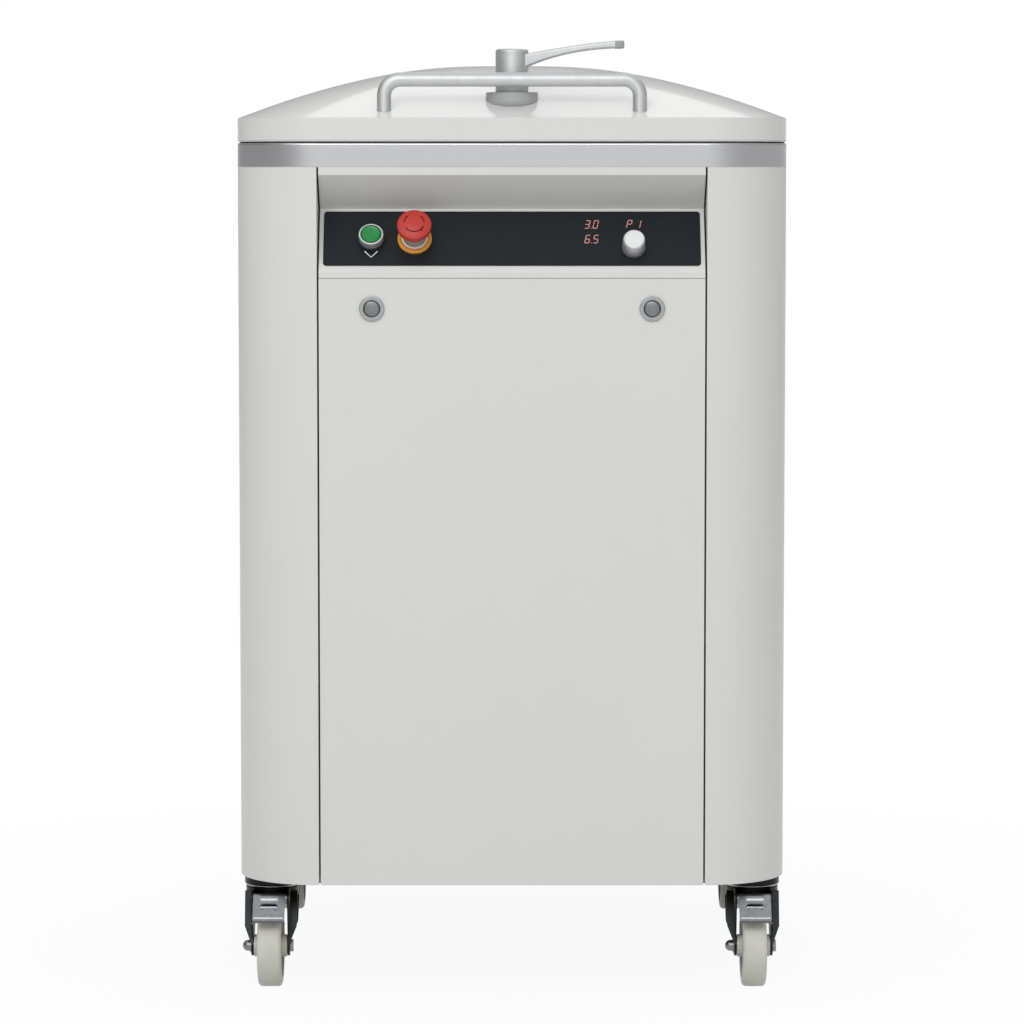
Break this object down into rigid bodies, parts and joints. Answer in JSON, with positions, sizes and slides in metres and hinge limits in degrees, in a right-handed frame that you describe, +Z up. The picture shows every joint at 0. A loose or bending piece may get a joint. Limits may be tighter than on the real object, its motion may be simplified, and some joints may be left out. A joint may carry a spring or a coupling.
{
  "type": "hydraulic dough divider",
  "caption": "Floor-standing hydraulic dough divider: cabinet on braked castors, domed hinged lid with handle and latch lever, sloped control panel, basin with press blocks and knife grid.",
  "frame": {"origin": "on the floor, under the middle of the machine", "axes": "+Z up, +X to the operator's right, +Y towards the back"},
  "size_m": [0.64, 0.7116, 1.1039],
  "materials": {
    "cabinet_paint": "satin light grey powder coat",
    "lid_paint": "light grey powder coat on an aluminium casting",
    "stainless": "brushed",
    "frame_steel": "grey paint",
    "bright_steel": "ground",
    "cast_aluminium": "satin",
    "seal_rubber": "matt",
    "white_polymer": "smooth",
    "nylon": "smooth",
    "castor_steel": "dark",
    "black_gloss": "soft gloss",
    "red_plastic": "gloss",
    "yellow_plastic": "gloss",
    "green_plastic": "gloss",
    "knob_plastic": "satin"
  },
  "bodies": {
    "cabinet": {"base_plate": "frame_steel", "main_frame": "frame_steel", "left_side_panel": "cabinet_paint", "right_side_panel": "cabinet_paint", "front_panel": "cabinet_paint", "rear_panel": "cabinet_paint", "control_fascia": "cabinet_paint", "control_plate": "black_gloss", "top_plate": "stainless", "basin": "stainless", "latch_strike": "frame_steel", "lock_collars": "stainless", "hinge_brackets": "stainless", "hinge_pins": "bright_steel", "cable_gland": "black_gloss", "oil_tank": "frame_steel", "pump_motor": "cast_aluminium", "valve_block": "cast_aluminium", "hydraulic_pipes": "bright_steel", "electrical_box": "frame_steel", "press_cylinder": "frame_steel", "knife_cylinders": "frame_steel", "guide_columns": "bright_steel", "start_bezel": "stainless", "estop_base": "yellow_plastic", "castor_heads": "castor_steel"},
    "lid": {"lid_shell": "lid_paint", "lid_press_plate": "white_polymer", "lid_seal": "seal_rubber", "lid_handle": "cast_aluminium", "latch_bush": "cast_aluminium"},
    "latch": {"lever": "cast_aluminium", "latch_spindle": "bright_steel"},
    "press": {"press_blocks": "white_polymer", "press_stems": "frame_steel", "crosshead": "frame_steel", "piston_rod": "bright_steel"},
    "knives": {"knife_grid": "stainless", "knife_carrier": "frame_steel", "knife_rods": "bright_steel"},
    "start_button": {"start_button": "green_plastic"},
    "estop_stem": {"estop_stem": "bright_steel"},
    "estop_head": {"estop_head": "red_plastic"},
    "knob": {"program_knob": "knob_plastic"},
    "lock_left": {"lock_left": "stainless"},
    "lock_right": {"lock_right": "stainless"},
    "fork_fl": {"castor_fork_fl": "castor_steel", "castor_axle_fl": "bright_steel"},
    "wheel_fl": {"castor_wheel_fl": "nylon"},
    "brake_fl": {"castor_brake_fl": "castor_steel"},
    "fork_fr": {"castor_fork_fr": "castor_steel", "castor_axle_fr": "bright_steel"},
    "wheel_fr": {"castor_wheel_fr": "nylon"},
    "brake_fr": {"castor_brake_fr": "castor_steel"},
    "fork_rl": {"castor_fork_rl": "castor_steel", "castor_axle_rl": "bright_steel"},
    "wheel_rl": {"castor_wheel_rl": "nylon"},
    "fork_rr": {"castor_fork_rr": "castor_steel", "castor_axle_rr": "bright_steel"},
    "wheel_rr": {"castor_wheel_rr": "nylon"}
  },
  "joints": [
    {"name": "lid_hinge", "type": "hinge", "parent": "cabinet", "child": "lid", "pos_m": [0, 0.348, 0.987], "axis": [-1, 0, 0], "range_deg": [0, 75]},
    {"name": "latch_turn", "type": "hinge", "parent": "lid", "child": "latch", "pos_m": [0, -0.282, 1.044], "axis": [0, 0, -1], "range_deg": [0, 90]},
    {"name": "press_lift", "type": "slide", "parent": "cabinet", "child": "press", "axis": [0, 0, 1], "range_m": [0, 0.1165]},
    {"name": "knife_lift", "type": "slide", "parent": "cabinet", "child": "knives", "axis": [0, 0, 1], "range_m": [0, 0.1165]},
    {"name": "start_push", "type": "slide", "parent": "cabinet", "child": "start_button", "axis": [0, 0.8374, -0.5466], "range_m": [0, 0.004], "stiffness_N_per_m": 500},
    {"name": "estop_push", "type": "slide", "parent": "cabinet", "child": "estop_stem", "axis": [0, 0.8374, -0.5466], "range_m": [0, 0.005], "stiffness_N_per_m": 1500},
    {"name": "estop_twist", "type": "hinge", "parent": "estop_stem", "child": "estop_head", "pos_m": [-0.112, -0.31776, 0.87482], "axis": [0, -0.8374, 0.5466], "range_deg": [0, 45]},
    {"name": "knob_turn", "type": "hinge", "parent": "cabinet", "child": "knob", "pos_m": [0.14, -0.32432, 0.86477], "axis": [0, -0.8374, 0.5466], "continuous": true},
    {"name": "lock_left_turn", "type": "hinge", "parent": "cabinet", "child": "lock_left", "pos_m": [-0.161, -0.34, 0.796], "axis": [0, 1, 0], "range_deg": [0, 90]},
    {"name": "lock_right_turn", "type": "hinge", "parent": "cabinet", "child": "lock_right", "pos_m": [0.161, -0.34, 0.796], "axis": [0, 1, 0], "range_deg": [0, 90]},
    {"name": "swivel_fl", "type": "hinge", "parent": "cabinet", "child": "fork_fl", "pos_m": [-0.283, -0.255, 0.114], "axis": [0, 0, 1], "continuous": true},
    {"name": "wheel_spin_fl", "type": "hinge", "parent": "fork_fl", "child": "wheel_fl", "pos_m": [-0.283, -0.293, 0.0475], "axis": [1, 0, 0], "continuous": true},
    {"name": "brake_press_fl", "type": "hinge", "parent": "fork_fl", "child": "brake_fl", "pos_m": [-0.283, -0.305, 0.105], "axis": [1, 0, 0], "range_deg": [0, 10], "stiffness_Nm_per_rad": 5},
    {"name": "swivel_fr", "type": "hinge", "parent": "cabinet", "child": "fork_fr", "pos_m": [0.283, -0.255, 0.114], "axis": [0, 0, 1], "continuous": true},
    {"name": "wheel_spin_fr", "type": "hinge", "parent": "fork_fr", "child": "wheel_fr", "pos_m": [0.283, -0.293, 0.0475], "axis": [1, 0, 0], "continuous": true},
    {"name": "brake_press_fr", "type": "hinge", "parent": "fork_fr", "child": "brake_fr", "pos_m": [0.283, -0.305, 0.105], "axis": [1, 0, 0], "range_deg": [0, 10], "stiffness_Nm_per_rad": 5},
    {"name": "swivel_rl", "type": "hinge", "parent": "cabinet", "child": "fork_rl", "pos_m": [-0.283, 0.255, 0.114], "axis": [0, 0, 1], "continuous": true},
    {"name": "wheel_spin_rl", "type": "hinge", "parent": "fork_rl", "child": "wheel_rl", "pos_m": [-0.283, 0.217, 0.0475], "axis": [1, 0, 0], "continuous": true},
    {"name": "swivel_rr", "type": "hinge", "parent": "cabinet", "child": "fork_rr", "pos_m": [0.283, 0.255, 0.114], "axis": [0, 0, 1], "continuous": true},
    {"name": "wheel_spin_rr", "type": "hinge", "parent": "fork_rr", "child": "wheel_rr", "pos_m": [0.283, 0.217, 0.0475], "axis": [1, 0, 0], "continuous": true}
  ]
}
